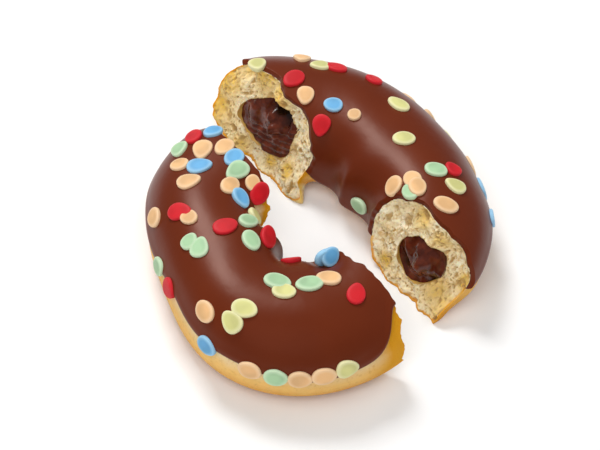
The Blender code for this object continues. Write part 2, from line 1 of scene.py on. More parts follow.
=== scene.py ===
"""Looks of a filled ring doughnut, torn across into two halves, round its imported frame.

Metres, +Z up, in the frame's axes: +X runs along the tear, +Y across it. Each
half is shaped in its own frame, with its tear near y = 0 and its ring on the
+Y side, and is then placed by its object's location and rotation. A place on
the ring has two angles: turn, along the ring from one torn end (0 degrees) to
the other (180), and around, about the dough's own section, from its outer
side (0) over the top (90) to the side of the hole (180).
"""

import math
import random

import bpy
import numpy as np
from mathutils import Matrix, Vector, noise


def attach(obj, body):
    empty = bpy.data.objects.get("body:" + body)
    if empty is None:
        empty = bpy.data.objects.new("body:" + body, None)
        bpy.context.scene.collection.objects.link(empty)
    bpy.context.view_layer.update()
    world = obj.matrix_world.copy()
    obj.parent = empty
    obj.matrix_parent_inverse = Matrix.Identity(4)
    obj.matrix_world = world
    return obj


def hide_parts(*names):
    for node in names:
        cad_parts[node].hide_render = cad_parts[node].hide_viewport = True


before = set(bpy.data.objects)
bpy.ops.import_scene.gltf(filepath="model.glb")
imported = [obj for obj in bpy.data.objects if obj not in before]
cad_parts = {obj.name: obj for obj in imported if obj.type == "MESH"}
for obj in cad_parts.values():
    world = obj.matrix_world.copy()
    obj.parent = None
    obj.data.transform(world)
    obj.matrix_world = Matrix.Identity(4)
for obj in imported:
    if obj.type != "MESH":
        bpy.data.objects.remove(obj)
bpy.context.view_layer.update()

MM = 0.001

# Section of the iced ring
RING_WIDTH = 37.6 * MM
RING_HEIGHT = 25.5 * MM
WIDEST_AT = 10.7 * MM
TOP_ROUNDNESS = 2.15
FOOT_ROUNDNESS = 3.0
FOOT_FLAT = 0.3 * MM
UNEVEN = 0.45 * MM
UNEVEN_LENGTH = 15 * MM

# Layers
ICING_THICKNESS = 1.35 * MM
ICING_SUNK = 0.15 * MM
ICING_LIP = 1.0 * MM
ICING_BREAK = 0.45 * MM
ICING_BEAD = 0.22 * MM
ICING_BEAD_AT = 1.6 * MM
ICING_BEAD_WIDE = 1.2 * MM
ICING_EDGE_OUTER = 7.0
ICING_EDGE_INNER = 198.0
ICING_FADES_OUTER = (-34.0, 3.0)
ICING_FADES_INNER = (186.0, 222.0)
EDGE_WAVE = 3.0
EDGE_RIPPLE = 2.0
TUNNEL_NARROWS = 0.22

# Torn faces
CRAG = 0.85 * MM
CRAG_LENGTH = 6.0 * MM
CRUMB = 0.4 * MM
CRUMB_LENGTH = 2.5 * MM
SHRED = 0.3 * MM
SHRED_LENGTH = 0.9 * MM
WALL_ROUGH = 0.5 * MM
WALL_LENGTH = 1.6 * MM
# Masks on the tunnel's wall: crust, painted shade of open cells, stain and richness
WALL_MASKS = (0.0, 0.2, 0.75, 1.0)
FACE_FADES = 0.7 * MM
CRUST_DEPTH = (0.15 * MM, 0.95 * MM)
AMBER_REACH = 5.0 * MM
FLAP_PALES = (0.4 * MM, 2.4 * MM)
STAIN = 0.8
STAIN_REACH = 0.5 * MM
STAIN_PITTED = 0.3 * MM

# Open cells of the crumb. PORES: their size, how deep they go, and where their
# pattern is read. PORE_BENDS: where the noise that bends their walls is read.
PORES = ((2.6 * MM, 0.55 * MM, 0.0), (1.4 * MM, 0.75 * MM, 7.0), (0.8 * MM, 0.4 * MM, 13.0))
PORE_BENDS = (0.0, 31.0, 57.0)
PORE_BEND = 0.45
PORE_BEND_SCALE = 0.9
PORE_WALL = 0.55
PORE_LEAST = 0.15
# Which open cells, by their own number, get painted shade in their hollows
PORE_SHADE_FROM = (0.45, 0.9)

# Broken ends of the filling
FILLING_OVERLAP = 0.1 * MM
FILLING_HALF = (8.0 * MM, 7.0 * MM)
FILLING_SUNK = 0.3 * MM
FILLING_RIM = 0.4 * MM
LUMP = 0.8 * MM
LUMP_LENGTH = 4.5 * MM
RIDGE = 0.55 * MM
RIDGE_LENGTH = 1.8 * MM
RIDGE_SLANT = 0.22
RIDGES_BELOW = (-2.0 * MM, 0.5 * MM)
RIDGES_BELOW_SLANT = 0.5
SWIRL = 0.5 * MM
SWIRL_TURNS = 4.5
SWIRL_FROM = (0.15, 0.5)
# Painted shade in the filling's dents: none at the first sinking, full at the second
DENT_SHADE_FROM = (0.3 * MM, 2.2 * MM)
WRINKLE = 0.25 * MM
WRINKLE_LENGTH = 1.5 * MM

# Sprinkles: flat sugar ovals
SPRINKLE_LENGTH = 7.0 * MM
SPRINKLE_WIDTH = 5.4 * MM
SPRINKLE_SPACING = 8.5 * MM
SPRINKLE_WOBBLE = 0.05
SPRINKLE_TAPERS = (0.0, 0.15, 0.3, 0.6)
HIDDEN_COLOURS = ("red", "blue", "mint", "yellow", "peach")
HIDDEN_LENGTHS = (0.9, 1.1)
HIDDEN_DRAWS = 400
TILT_RAISE = 1.6 * MM
SPRINKLE_STEP = 0.02
SPRINKLE_SIDES = 32
SPRINKLE_PROFILE = (
    (0.80, -0.80),
    (0.91, -0.30),
    (0.925, 0.20),
    (0.92, 0.44),
    (0.89, 0.62),
    (0.84, 0.74),
    (0.77, 0.81),
    (0.55, 0.86),
    (0.28, 0.88),
)

# How finely the meshes are divided, and how far their points crowd to the ends
COLUMNS = 380
CRUST_STEPS = 104
CRUST_CROWDS = 0.8
FACE_STEPS = 72
WALL_STEPS = 44
WALL_CROWDS = 0.97
ICING_TURNS = 230
ICING_TURNS_CROWD = 0.9
ICING_ROWS = 120
ICING_ROWS_CROWD = 0.86
FILLING_COLUMNS = 150
FILLING_CROWDS = 0.9
CAP_STEPS = 40

# Search for the places where a line along the ring leaves the dough
SEARCH_FROM = [math.radians(degrees) for degrees in range(12, 62, 8)]
SEARCH_TO = -1.3
SEARCH_STEP = math.radians(2.0)
SEARCH_HALVINGS = 12

# The two halves, with the same forms and sprinkles as the frame's solids.
# radii: mean radius of the ring, then how much it swells once, twice and
# three times round. widths: how much wider the dough is at the first end than
# at the other, and half way round than at the ends. lean: how far the tear
# leans away from upright. edge_climb, inner_climb: how far the icing's edge
# climbs at each end, the turn where it is highest, and how wide. tunnel: the
# tunnel's half width at both ends, then its half height at both. tunnel_out,
# tunnel_up: how far its middle lies outside the ring's mean line, and how
# high. tunnel_sags: how far its section is out of round at each end, with how
# many lobes, and where. pulls: where the tear was drawn out, as x, z, how
# far, and how wide. golden: where the torn crumb is richer and yellower, as
# x, z and how wide, in millimetres. amber: how far the crust turns amber next
# to the tear at each end. swells: where the ring is fuller, as turn, around,
# how far, and how wide each way. tongues: where the foot is drawn out into a
# flap, in the same order. dents, beads: where the filling's broken ends are
# sunk or stand out, as across, up, how far, and how wide. sprinkles: colour,
# turn, around, twist from the ring's direction, length and tilt. hidden: more
# sprinkles where the list has none, as ranges of around, turn and twist, how
# many, and the draw's seed.
HALVES = {
    "back": {
        "location": (-0.6 * MM, 10.3 * MM),
        "rotation": 0.0,
        "radii": (27.6 * MM, -0.9 * MM, 4.6 * MM, 0.8 * MM),
        "widths": (-2.2 * MM, -0.5 * MM),
        "lean": 21.5,
        "seed": 11.0,
        "edge_climb": ((-3.0, 0.0, 10.0), (60.0, 178.0, 9.0)),
        "inner_climb": ((6.0, 0.0, 16.0), (20.0, 180.0, 20.0)),
        "tunnel": (7.6 * MM, 10.1 * MM, 6.4 * MM, 7.8 * MM),
        "tunnel_out": (0.8 * MM, -1.2 * MM),
        "tunnel_up": (11.0 * MM, 12.9 * MM),
        "tunnel_sags": ((0.10, 2, 40), (0.12, 3, -16)),
        "pulls": (
            (47 * MM, 2 * MM, -3.2 * MM, 4 * MM),
            (-15 * MM, 3 * MM, -3.0 * MM, 4 * MM),
            (-30 * MM, 23 * MM, -1.6 * MM, 5 * MM),
            (35 * MM, 22 * MM, -1.4 * MM, 6 * MM),
            (-44 * MM, 12 * MM, -1.0 * MM, 6 * MM),
            (34 * MM, 18 * MM, -0.8 * MM, 2.2 * MM),
            (-11 * MM, 18 * MM, -1.4 * MM, 6 * MM),
            (13 * MM, 16 * MM, -1.9 * MM, 6 * MM),
            (41 * MM, 6 * MM, 1.8 * MM, 2.8 * MM),
            (44 * MM, 17 * MM, 3.0 * MM, 8 * MM),
            (50 * MM, 7 * MM, 3.0 * MM, 5 * MM),
        ),
        "golden": (
            (-51, 5, 9), (-49, 16, 6), (-46, 23, 5), (-38, 1, 4), (-38, 24, 6), (-30, 23, 5),
            (-26, 4, 3), (-19, 6, 3), (40, 6, 4), (22, 4, 3), (44, 4, 4), (47, 12, 4),
            (28, 22, 4), (36, 20, 3),
        ),
        "amber": (0.4, 1.0),
        "swells": (
            (168, 28, 2.1 * MM, 17, 32),
            (166, 66, 1.1 * MM, 18, 26),
            (1, -16, -2.8 * MM, 10, 18),
            (1, -54, 5.0 * MM, 9, 15),
            (8, 14, 0.5 * MM, 12, 20),
        ),
        "dents": (
            (
                (0.3 * MM, 0.3 * MM, -2.0 * MM, 3.4 * MM),
                (6.2 * MM, -3.6 * MM, 2.6 * MM, 2.6 * MM),
                (-5.0 * MM, -3.6 * MM, 1.6 * MM, 2.4 * MM),
                (-1.0 * MM, 6.0 * MM, 0.7 * MM, 2.0 * MM),
            ),
            (
                (1.6 * MM, 0.6 * MM, -1.7 * MM, 3.0 * MM),
                (-7.0 * MM, -0.6 * MM, -1.2 * MM, 4.0 * MM),
                (2.0 * MM, 6.0 * MM, 4.0 * MM, 2.6 * MM),
                (6.0 * MM, 3.0 * MM, 1.8 * MM, 2.6 * MM),
                (8.0 * MM, 2.6 * MM, -0.8 * MM, 1.8 * MM),
            ),
        ),
        "beads": (
            ((1.1 * MM, 0.8 * MM, 2.2 * MM, 1.9 * MM), (-1.6 * MM, 3.4 * MM, 0.9 * MM, 1.4 * MM)),
            (
                (0.9 * MM, 3.4 * MM, 1.6 * MM, 1.5 * MM),
                (3.0 * MM, 0.7 * MM, 1.8 * MM, 1.6 * MM),
                (7.6 * MM, 3.4 * MM, 1.3 * MM, 1.6 * MM),
            ),
        ),
        "tongues": ((177.0, 207.0, 6.5 * MM, 12.0, 9.0),),
        "sprinkles": (
            ("yellow", 168, 56, 70, 1.0, 0),
            ("peach", 149, 44, 80, 1.0, 0),
            ("yellow", 143, 57, 20, 0.9, 0),
            ("red", 136, 54, 0, 1.0, 0),
            ("red", 157, 83, 35, 1.1, 0),
            ("peach", 154, 106, 80, 0.95, 0),
            ("blue", 137, 113, 10, 0.85, 0),
            ("peach", 120, 113, 0, 0.6, 0),
            ("red", 147, 138, 90, 1.0, 0),
            ("yellow", 101, 62, 15, 1.05, 0),
            ("red", 119, 50, 0, 0.8, 0),
            ("yellow", 76, 91, 60, 1.0, 0),
            ("mint", 46, 82, 60, 1.0, 0),
            ("red", 49, 62, 30, 0.8, 0),
            ("yellow", 38, 66, 60, 0.95, 0),
            ("peach", 32, 133, 140, 1.0, 0),
            ("peach", 36, 111, 10, 1.0, 0),
            ("peach", 30, 108, 0, 1.0, 12),
            ("mint", 26, 116, 20, 0.9, 0),
            ("peach", 24, 77, 80, 1.1, 0),
            ("mint", 42, 181, 0, 0.9, 0),
        ),
        "hidden": ((4, 14), (38, 148), (0, 180), 8, 5),
    },
    "front": {
        "location": (7.8 * MM, -12.1 * MM),
        "rotation": 177.3,
        "radii": (23.5 * MM, -0.9 * MM, 3.3 * MM, 2.4 * MM),
        "widths": (-1.7 * MM, -3.1 * MM),
        "lean": -12.5,
        "seed": 47.0,
        "edge_climb": ((8.0, 0.0, 10.0), (36.0, 188.0, 10.0)),
        "inner_climb": ((60.0, 2.0, 13.0), (8.0, 180.0, 22.0)),
        "tunnel": (10.0 * MM, 8.2 * MM, 8.0 * MM, 7.0 * MM),
        "tunnel_out": (1.2 * MM, -0.4 * MM),
        "tunnel_up": (11.0 * MM, 11.0 * MM),
        "tunnel_sags": ((0.10, 3, 164), (0.08, 2, 140)),
        "pulls": (
            (-44 * MM, 3 * MM, -4.6 * MM, 4 * MM),
            (-42 * MM, 11 * MM, -1.5 * MM, 5 * MM),
            (6 * MM, 12 * MM, 4.2 * MM, 7 * MM),
            (24 * MM, 24 * MM, 0.8 * MM, 9 * MM),
            (-9 * MM, 18 * MM, 3.4 * MM, 6 * MM),
        ),
        "golden": ((42, 4, 6), (30, 3, 5), (18, 12, 4), (-38, 4, 6), (-20, 3, 5), (-30, 20, 4)),
        "amber": (1.0, 1.0),
        "swells": ((-3, 32, 1.5 * MM, 13, 32), (180, 142, -3.0 * MM, 15, 28)),
        "dents": (
            (
                (-0.6 * MM, 0.8 * MM, -1.8 * MM, 3.2 * MM),
                (5.2 * MM, 3.2 * MM, 1.9 * MM, 2.6 * MM),
                (-5.4 * MM, -2.6 * MM, 1.5 * MM, 2.8 * MM),
            ),
            (
                (0.8 * MM, -0.6 * MM, -1.8 * MM, 3.3 * MM),
                (-5.0 * MM, 3.4 * MM, 2.2 * MM, 2.6 * MM),
                (4.2 * MM, -4.0 * MM, 1.4 * MM, 2.4 * MM),
            ),
        ),
        "beads": ((), ()),
        "tongues": (),
        "sprinkles": (
            ("blue", -5, 52, 20, 0.95, 0),
            ("red", 2, 45, 40, 1.0, 0),
            ("mint", 10, 42, 30, 1.0, 0),
            ("peach", 6, 66, 30, 1.15, 0),
            ("peach", -3, 78, 20, 1.0, 0),
            ("blue", -3, 96, 20, 1.0, 0),
            ("mint", 2, 112, 0, 1.15, 0),
            ("blue", 15, 76, 125, 1.1, 0),
            ("peach", 18, 54, 100, 0.85, 0),
            ("peach", 27, 70, 110, 1.05, 0),
            ("peach", 16, 116, 160, 1.0, 0),
            ("peach", -3, 130, 60, 0.75, 0),
            ("red", -4, 141, 40, 1.05, 0),
            ("blue", 19, 130, 30, 1.0, 0),
            ("yellow", 22, 149, 130, 1.0, 0),
            ("mint", 53, 122, 100, 1.0, 0),
            ("peach", 44, 27, 10, 1.0, 0),
            ("red", 47, 56, 60, 1.1, 0),
            ("peach", 52, 63, 30, 0.8, 0),
            ("red", 64, 93, 95, 1.1, 0),
            ("mint", 68, 54, 120, 0.8, 0),
            ("mint", 75, 61, 150, 1.0, 0),
            ("mint", 87, 116, 10, 1.05, 0),
            ("red", 83, 138, 0, 1.15, 0),
            ("red", 144, 153, 20, 0.9, 0),
            ("blue", 179, 131, 0, 0.95, -60),
            ("blue", 186, 127, 0, 0.9, 80),
            ("mint", 132, 103, 0, 1.15, 0),
            ("yellow", 137, 91, 0, 1.0, 0),
            ("mint", 153, 101, 0, 1.15, 0),
            ("peach", 167, 102, 145, 1.05, 0),
            ("red", 175, 71, 45, 1.0, 0),
            ("peach", 104, 34, 170, 1.05, 0),
            ("yellow", 120, 58, 15, 1.1, 0),
            ("yellow", 117, 42, 160, 1.05, 0),
            ("blue", 110, 9, 0, 1.0, 0),
            ("peach", 128, 9, 0, 1.0, 0),
            ("mint", 137, 8, 0, 1.0, 0),
            ("peach", 145, 8, 0, 1.0, 0),
            ("peach", 153, 10, 0, 1.05, 0),
            ("yellow", 161, 13, 0, 1.0, 0),
            ("mint", 65, 10, 20, 1.0, 0),
            ("red", 79, 12, 0, 1.0, 0),
        ),
        "hidden": ((138, 160), (40, 140), (75, 105), 2, 8),
    },
}

# Colours, linear: each sprinkle's middle and its paler rim
SPRINKLE_COLOURS = {
    "red": ((0.62, 0.006, 0.014), (0.62, 0.02, 0.03)),
    "blue": ((0.14, 0.42, 0.72), (0.36, 0.62, 0.82)),
    "mint": ((0.40, 0.62, 0.36), (0.60, 0.76, 0.52)),
    "yellow": ((0.70, 0.68, 0.27), (0.82, 0.78, 0.46)),
    "peach": ((0.84, 0.50, 0.23), (0.88, 0.62, 0.38)),
}

# Camera: the photo's own place, its turn towards the part, and its lens
CAMERA_AT = Vector((293.95, -303.06, 469.14)) * MM
PHOTO_LOOKS_AT = Vector((-10.0, -61.8, 0.0)) * MM
PART_MIDDLE = Vector((0.5, -1.0, 9.0)) * MM
LENS = 136.0
SENSOR = 36.0

# Lights: direction, distance, size, power in watts, and whether one shows as a reflection
LIGHTS = {
    "key": ((-0.57, 0.13, 0.80), 0.9, 0.32, 5.0, True),
    "overhead": ((0.3, -0.5, 0.85), 1.2, 1.0, 8.6, False),
    "fill": ((0.3, -0.9, 0.35), 1.2, 1.0, 0.7, False),
    "back": ((0.2, 0.8, 0.5), 1.2, 1.0, 2.5, False),
}
WORLD_LIGHT = 0.22
FLOOR_SIZE = 6.0
FLOOR_AT = -0.05 * MM


# Shape of the ring

def smooth(low, high, value):
    """0 below low, 1 above high, and a soft step between."""
    t = min(1.0, max(0.0, (value - low) / (high - low)))
    return t * t * (3.0 - 2.0 * t)


def ring_radius(half, turn):
    mean, once, twice, thrice = half["radii"]
    return mean + once * math.cos(turn) + twice * math.cos(2 * turn) + thrice * math.cos(3 * turn)


def section_radius(half, turn, around):
    """Distance from the middle of the section to the skin of the iced ring."""
    ends, middle = half["widths"]
    width = RING_WIDTH + ends * math.cos(turn) + middle * math.sin(turn) ** 2
    upper = math.sin(around) > 0.0
    height = RING_HEIGHT - WIDEST_AT if upper else WIDEST_AT + FOOT_FLAT
    power = TOP_ROUNDNESS if upper else FOOT_ROUNDNESS
    across = abs(math.cos(around)) / (0.5 * width)
    up = abs(math.sin(around)) / height
    return (across ** power + up ** power) ** (-1.0 / power)


def ring_point(half, turn, around, radius):
    """A point at a distance from the middle of the section, flat underneath."""
    out = ring_radius(half, turn) + radius * math.cos(around)
    height = WIDEST_AT + radius * math.sin(around)
    return Vector((out * math.cos(turn), out * math.sin(turn), max(0.0, height)))


def signed_degrees(around):
    """An angle around the section in degrees, from -90 at the foot to 270."""
    degrees = math.degrees(around) % 360.0
    return degrees - 360.0 if degrees > 270.0 else degrees


def swell(spots, turn, around):
    """How far the dough swells out at a place, from spots with their widths in degrees."""
    lift = 0.0
    for at_turn, at_around, far, wide, high in spots:
        along = (math.degrees(turn) - at_turn) / wide
        over = (signed_degrees(around) - at_around) / high
        lift += far * math.exp(-along * along - over * over)
    return lift


def skin(half, turn, around, lift=0.0):
    """A point of the iced ring's skin, or lifted above it."""
    radius = section_radius(half, turn, around)
    flat = ring_point(half, turn, around, radius)
    place = flat / UNEVEN_LENGTH + Vector((half["seed"], 0.0, 0.0))
    wave = UNEVEN * noise.noise(place) * smooth(-0.4, 0.4, math.sin(around))
    wave += swell(half["swells"], turn, around)
    return ring_point(half, turn, around, radius + wave + lift)


def iced(around):
    """How far a place is under the icing: 1 there, and 0 at the foot."""
    degrees = signed_degrees(around)
    return smooth(*ICING_FADES_OUTER, degrees) * (1.0 - smooth(*ICING_FADES_INNER, degrees))


def crust(half, turn, around):
    """A point of the dough's own skin, drawn out where it tore into a flap."""
    lift = swell(half["tongues"], turn, around) - ICING_THICKNESS * iced(around)
    return skin(half, turn, around, lift)


def tunnel(half, turn, around, lift=0.0):
    """A point of the wall of the tunnel that the filling lies in."""
    share = 0.5 - 0.5 * math.cos(turn)
    wide_0, wide_1, tall_0, tall_1 = half["tunnel"]
    narrow = 1.0 - TUNNEL_NARROWS * math.sin(turn) ** 2
    wide = (wide_0 + (wide_1 - wide_0) * share) * narrow
    tall = (tall_0 + (tall_1 - tall_0) * share) * narrow
    sag = 1.0
    for (far, lobes, at), part in zip(half["tunnel_sags"], (1.0 - share, share)):
        sag += part * far * math.cos(lobes * (around - math.radians(at)))
    out_0, out_1 = half["tunnel_out"]
    middle = ring_radius(half, turn) + out_0 + (out_1 - out_0) * share
    out = middle + (wide * sag + lift) * math.cos(around)
    up_0, up_1 = half["tunnel_up"]
    height = up_0 + (up_1 - up_0) * share + (tall * sag + lift) * math.sin(around)
    return Vector((out * math.cos(turn), out * math.sin(turn), height))


def off_spot(x, z, at_x, at_z, wide):
    """Square of the distance from a spot, as a share of the spot's width."""
    return ((x - at_x) ** 2 + (z - at_z) ** 2) / wide ** 2


def tear(half, x, z):
    """How far across the tear, along y, the torn face lies at x and z."""
    seed = half["seed"]
    crag = CRAG * noise.noise(Vector((x, z, 0.0)) / CRAG_LENGTH + Vector((seed, 3.0, 1.0)))
    crumb = CRUMB * noise.noise(Vector((x, z, 0.0)) / CRUMB_LENGTH + Vector((seed, 9.0, 5.0)))
    y = z * math.tan(math.radians(half["lean"])) + 2.0 * (crag + crumb)
    for at_x, at_z, far, wide in half["pulls"]:
        y += far * math.exp(-off_spot(x, z, at_x, at_z, wide))
    return y


def torn(half, x, z):
    """The torn face with the finer shreds of its crumb."""
    place = Vector((x, z, 0.0)) / SHRED_LENGTH + Vector((half["seed"], 1.0, 8.0))
    return tear(half, x, z) + SHRED * noise.noise(place)


def on_filling(half, x, z):
    """Which end of the filling a place is on, and how far across and up from its middle."""
    end, side = (0, 1.0) if x > 0.0 else (1, -1.0)
    out = ring_radius(half, math.pi * end) + half["tunnel_out"][end]
    return end, x - side * out, z - half["tunnel_up"][end]


def filling_end(half, x, z):
    """The broken end of the filling: a folded lump with dents where it drew away."""
    end, across, up = on_filling(half, x, z)
    reach = math.hypot(across / FILLING_HALF[0], up / FILLING_HALF[1])
    depth = z * math.tan(math.radians(half["lean"])) + FILLING_SUNK + FILLING_RIM * reach * reach
    for at_across, at_up, far, wide in half["dents"][end]:
        depth += far * math.exp(-off_spot(across, up, at_across, at_up, wide))
    lump = noise.noise(Vector((x, z, 0.0)) / LUMP_LENGTH + Vector((half["seed"], 20.0, 2.0)))
    fine = noise.noise(Vector((x, z, 0.0)) / WRINKLE_LENGTH + Vector((half["seed"], 5.0, 9.0)))

    # Beads of cream stand out
    for at_across, at_up, far, wide in half["beads"][end]:
        off = off_spot(across, up, at_across, at_up, wide)
        depth -= far * math.exp(-off * off)

    # Folds with sharp valleys: a swirl, and layers along the lower rim of the last end
    swirl = abs(math.sin(SWIRL_TURNS * reach + math.atan2(up, across) + half["seed"]))
    swirl *= SWIRL * smooth(*SWIRL_FROM, reach)
    layers = abs(math.sin(math.pi * (up - RIDGE_SLANT * across + LUMP * lump) / RIDGE_LENGTH))
    low = 1.0 - smooth(*RIDGES_BELOW, up - RIDGES_BELOW_SLANT * across) if end else 0.0
    return depth + LUMP * lump + WRINKLE * fine - low * RIDGE * layers - (1.0 - low) * swirl


def climb(rises, degrees):
    """How far the icing's edge climbs near the two torn ends."""
    (first, first_at, first_wide), (last, last_at, last_wide) = rises
    before = max(0.0, degrees - first_at) / first_wide
    after = max(0.0, last_at - degrees) / last_wide
    return first * math.exp(-before * before) + last * math.exp(-after * after)


def icing_span(half, turn):
    """The two angles around the section where the icing ends."""
    degrees = math.degrees(turn)
    waves = EDGE_WAVE * math.sin(3.0 * turn + half["seed"])
    waves += EDGE_RIPPLE * math.sin(8.0 * turn + half["seed"])
    outer = ICING_EDGE_OUTER + climb(half["edge_climb"], degrees) + waves
    waves = EDGE_WAVE * math.sin(4.0 * turn + half["seed"])
    inner = ICING_EDGE_INNER - climb(half["inner_climb"], degrees) + waves
    return math.radians(outer), math.radians(inner)


def covered_by_icing(half, turn, around):
    """1 where the icing lies on the dough, and 0 where its crust is bare."""
    low, high = (math.degrees(edge) for edge in icing_span(half, turn))
    degrees = signed_degrees(around)
    return smooth(low - 1.0, low + 3.0, degrees) * (1.0 - smooth(high - 3.0, high + 1.0, degrees))


def ends_of(line, face):
    """The turns at which a line along the ring meets the torn faces at both ends."""
    found = []
    for end, way in ((0.0, 1.0), (math.pi, -1.0)):

        def kept(offset):
            point = line(end + way * offset)
            return point.y - face(point.x, point.z)

        inside = max(SEARCH_FROM, key=kept)
        outside = inside
        while outside > SEARCH_TO and kept(outside) > 0.0:
            inside = outside
            outside -= SEARCH_STEP
        for _ in range(SEARCH_HALVINGS):
            middle = 0.5 * (inside + outside)
            if kept(middle) > 0.0:
                inside = middle
            else:
                outside = middle
        found.append(end + way * inside)
    return found


# Meshes from grids of points

def spaced(count, crowding):
    """Shares from 0 to 1, closer together near both ends."""
    t = np.linspace(0.0, 1.0, count)
    return t - crowding * np.sin(math.tau * t) / math.tau


def grid_faces(rows, columns, wrap_rows, wrap_columns):
    """Four-sided faces between neighbours of a grid of points."""
    row, column = np.meshgrid(
        np.arange(rows if wrap_rows else rows - 1),
        np.arange(columns if wrap_columns else columns - 1),
        indexing="ij",
    )
    next_row = (row + 1) % rows
    next_column = (column + 1) % columns
    corners = (
        row * columns + column,
        next_row * columns + column,
        next_row * columns + next_column,
        row * columns + next_column,
    )
    return np.stack(corners, axis=-1).reshape(-1, 4).tolist()


def outward(points, faces):
    """The faces in the order that makes them look out of the body."""
    volume = 0.0
    for face in faces:
        corner = points[face[0]]
        for second, third in zip(face[1:-1], face[2:]):
            volume += corner.dot(points[second].cross(points[third]))
    return faces if volume > 0.0 else [face[::-1] for face in faces]


def make_piece(name, points, faces, masks, material):
    """An object of smooth faces, with masks that its material reads."""
    mesh = bpy.data.meshes.new(name)
    mesh.from_pydata([tuple(point) for point in points], [], outward(points, faces))
    mesh.shade_smooth()
    for mask, values in masks.items():
        attribute = mesh.attributes.new(mask, "FLOAT", "POINT")
        attribute.data.foreach_set("value", np.asarray(values, dtype=np.float32))
    mesh.materials.append(material)
    piece = bpy.data.objects.new(name, mesh)
    bpy.context.scene.collection.objects.link(piece)
    return piece


def place_half(piece, half):
    piece.location = (*half["location"], 0.0)
    piece.rotation_euler = (0.0, 0.0, math.radians(half["rotation"]))


# Dough

def pores(half, x, z):
    """Depth of the crumb's open cells at a place of a torn face, and 0 to 1 how much painted shade
    their hollows get.
    """
    depth = 0.0
    pore_shade = 0.0
    for size, most, offset in PORES:
        stretch = Vector((x, z, 0.0)) / size + Vector((half["seed"], offset, 0.5))
        read = [stretch * PORE_BEND_SCALE + Vector((far, 0.0, far)) for far in PORE_BENDS]
        stretch += PORE_BEND * Vector([noise.noise(place) for place in read])
        distances, cells = noise.voronoi(stretch)

        # Each cell's own number, from 0 to 1, says how open it is
        chance = 0.5 + 0.5 * math.sin(91.7 * cells[0].x + 47.3 * cells[0].y)
        hollow = smooth(0.0, PORE_WALL, distances[1] - distances[0])
        hollow *= PORE_LEAST + (1.0 - PORE_LEAST) * chance ** 2
        depth += most * hollow
        # The most open cells are painted darker, as shade in their hollows
        pore_shade = max(pore_shade, hollow * smooth(*PORE_SHADE_FROM, chance))
    return depth, pore_shade


def richness(half, x, z):
    """How golden the torn crumb is at a place, 0 to 1."""
    most = 0.0
    for at_x, at_z, wide in half["golden"]:
        most = max(most, math.exp(-off_spot(x / MM, z / MM, at_x, at_z, wide)))
    return most


def torn_face(half, outer, inner, covered):
    """Points of one torn face from an outer to an inner point, each with its masks' values."""
    rows = []
    span = (inner - outer).length
    outer_off = outer.y - torn(half, outer.x, outer.z)
    inner_off = inner.y - torn(half, inner.x, inner.z)
    for share in np.linspace(0.0, 1.0, FACE_STEPS + 2)[1:-1]:
        flat = outer.lerp(inner, share)
        edge = min(share, 1.0 - share) * span
        depth, pore_shade = pores(half, flat.x, flat.z)
        fade = smooth(0.0, FACE_FADES, edge)
        y = torn(half, flat.x, flat.z) + outer_off * (1.0 - share) + inner_off * share
        point = Vector((flat.x, y + fade * depth, flat.z))
        browned = (1.0 - covered) * (1.0 - smooth(*CRUST_DEPTH, share * span))
        from_cream = (1.0 - share) * span - STAIN_PITTED * pore_shade
        stained = STAIN * (1.0 - smooth(0.0, STAIN_REACH, from_cream))
        rows.append((point, browned, pore_shade * fade, stained, richness(half, flat.x, flat.z)))
    return rows


def make_dough(name, half, material):
    points = []
    masks = {"crust": [], "pore_shade": [], "stain": [], "rich": []}
    shares = spaced(CRUST_STEPS, CRUST_CROWDS)
    wall_shares = spaced(WALL_STEPS, WALL_CROWDS)
    face = lambda x, z: torn(half, x, z)
    for column in range(COLUMNS):
        around = math.tau * column / COLUMNS
        start, end = ends_of(lambda turn: crust(half, turn, around), face)
        mouth_start, mouth_end = ends_of(lambda turn: tunnel(half, turn, around), face)
        outside = [crust(half, start + (end - start) * share, around) for share in shares]
        wall = []
        for share in wall_shares:
            turn = mouth_end + (mouth_start - mouth_end) * share
            smooth_point = tunnel(half, turn, around)
            rough = WALL_ROUGH * (0.5 + noise.noise(smooth_point / WALL_LENGTH))
            fade = smooth(0.0, 0.1, min(share, 1.0 - share))
            wall.append(tunnel(half, turn, around, -fade * max(0.0, rough)))
        loop = []
        for share, point in zip(shares, outside):
            turn = start + (end - start) * share
            near = min(share, 1.0 - share) * (end - start) * ring_radius(half, turn)
            amber = half["amber"][0 if share < 0.5 else 1]
            amber *= math.exp(-((near / AMBER_REACH) ** 2))
            drawn = smooth(*FLAP_PALES, swell(half["tongues"], turn, around))
            bare = 1.0 - covered_by_icing(half, turn, around)
            loop.append((point, (1.0 - drawn) * bare, 0.0, 0.0, amber * bare))
        loop += torn_face(half, outside[-1], wall[0], covered_by_icing(half, end, around))
        loop += [(point, *WALL_MASKS) for point in wall]
        covered = covered_by_icing(half, start, around)
        loop += torn_face(half, outside[0], wall[-1], covered)[::-1]
        for point, *values in loop:
            points.append(point)
            for mask, value in zip(masks, values):
                masks[mask].append(value)
    faces = grid_faces(COLUMNS, len(points) // COLUMNS, True, True)
    return make_piece(name, points, faces, masks, material)


# Icing

def rounding(distance, lip):
    """Height of a rounded edge, 0 at the edge and 1 from a lip's width in."""
    inset = 1.0 - min(1.0, max(0.0, distance / lip))
    return math.sqrt(max(0.0, 1.0 - inset * inset))


def icing_height(half, turn, around, low, high, start, end):
    """How thick the icing is, from its rounded edges to its full depth."""
    girth = section_radius(half, turn, around)
    out = ring_radius(half, turn) + girth * math.cos(around)
    edge = min(around - low, high - around) * girth
    broken = min(turn - start, end - turn) * out
    bead = ICING_BEAD * math.exp(-(((edge - ICING_BEAD_AT) / ICING_BEAD_WIDE) ** 2))
    full = ICING_THICKNESS + bead
    return full * rounding(edge, ICING_LIP) * rounding(broken, ICING_BREAK)


